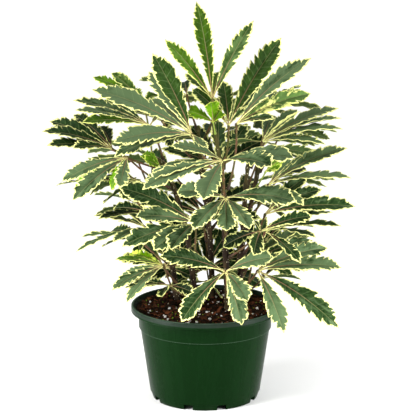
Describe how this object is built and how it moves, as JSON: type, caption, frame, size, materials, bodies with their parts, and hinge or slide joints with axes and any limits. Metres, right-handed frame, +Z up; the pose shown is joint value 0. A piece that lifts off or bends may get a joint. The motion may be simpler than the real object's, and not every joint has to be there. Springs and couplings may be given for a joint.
{
  "type": "potted false aralia",
  "caption": "Variegated false aralia: long toothed leaflets with cream edges fan from slender stalks on woody stems, rooted in a round green nursery pot.",
  "frame": {"origin": "centre of the pot's flat underside, on the surface it stands on", "axes": "+Z up along the pot's axis, -Y towards the plant's front, +X to the right as seen from the front"},
  "size_m": [0.3426, 0.3232, 0.4405],
  "materials": {
    "green_plastic": "satin",
    "potting_mix": "matte",
    "bark": "matte",
    "leaf_surface": "satin",
    "young_leaf_surface": "satin"
  },
  "bodies": {
    "root": {"pot": "green_plastic", "soil": "potting_mix", "stem_centre": "bark", "stem_left": "bark", "stem_right": "bark", "stem_back": "bark", "stem_back_right": "bark", "stem_back_left": "bark", "leaf_top": "leaf_surface", "leaf_right_crown": "leaf_surface", "leaf_right_arch": "leaf_surface", "leaf_left_crown": "leaf_surface", "leaf_left_wing": "leaf_surface", "leaf_left_reach": "leaf_surface", "leaf_left_upper": "leaf_surface", "leaf_left_back_upper": "leaf_surface", "leaf_front": "leaf_surface", "leaf_front_middle": "leaf_surface", "leaf_front_low": "leaf_surface", "leaf_right_low": "leaf_surface", "leaf_right_reach": "leaf_surface", "leaf_right_drop": "leaf_surface", "leaf_right_inner": "leaf_surface", "leaf_right_wing": "leaf_surface", "leaf_right_upper": "leaf_surface", "leaf_left_middle": "leaf_surface", "leaf_left_lower": "leaf_surface", "leaf_left_low": "leaf_surface", "leaf_new_centre": "young_leaf_surface", "leaf_new_left": "young_leaf_surface", "leaf_new_right": "young_leaf_surface", "leaf_inner_low": "leaf_surface", "leaf_inner_left": "leaf_surface", "leaf_inner_right": "leaf_surface", "leaf_inner_middle": "leaf_surface", "leaf_inner_high": "leaf_surface", "leaf_back_01": "leaf_surface", "leaf_back_02": "leaf_surface", "leaf_back_03": "leaf_surface", "leaf_back_04": "leaf_surface", "leaf_back_05": "leaf_surface", "leaf_back_06": "leaf_surface", "leaf_back_07": "leaf_surface", "leaf_back_08": "leaf_surface", "leaf_back_09": "leaf_surface", "leaf_back_10": "leaf_surface", "leaf_back_11": "leaf_surface", "leaf_back_12": "leaf_surface", "leaf_back_13": "leaf_surface", "leaf_back_14": "leaf_surface", "leaf_back_15": "leaf_surface", "leaf_back_16": "leaf_surface", "leaf_back_17": "leaf_surface", "leaf_back_18": "leaf_surface", "leaf_back_19": "leaf_surface", "leaf_back_20": "leaf_surface", "leaf_back_21": "leaf_surface", "leaf_back_22": "leaf_surface", "leaf_back_23": "leaf_surface", "leaf_back_24": "leaf_surface"}
  },
  "joints": []
}
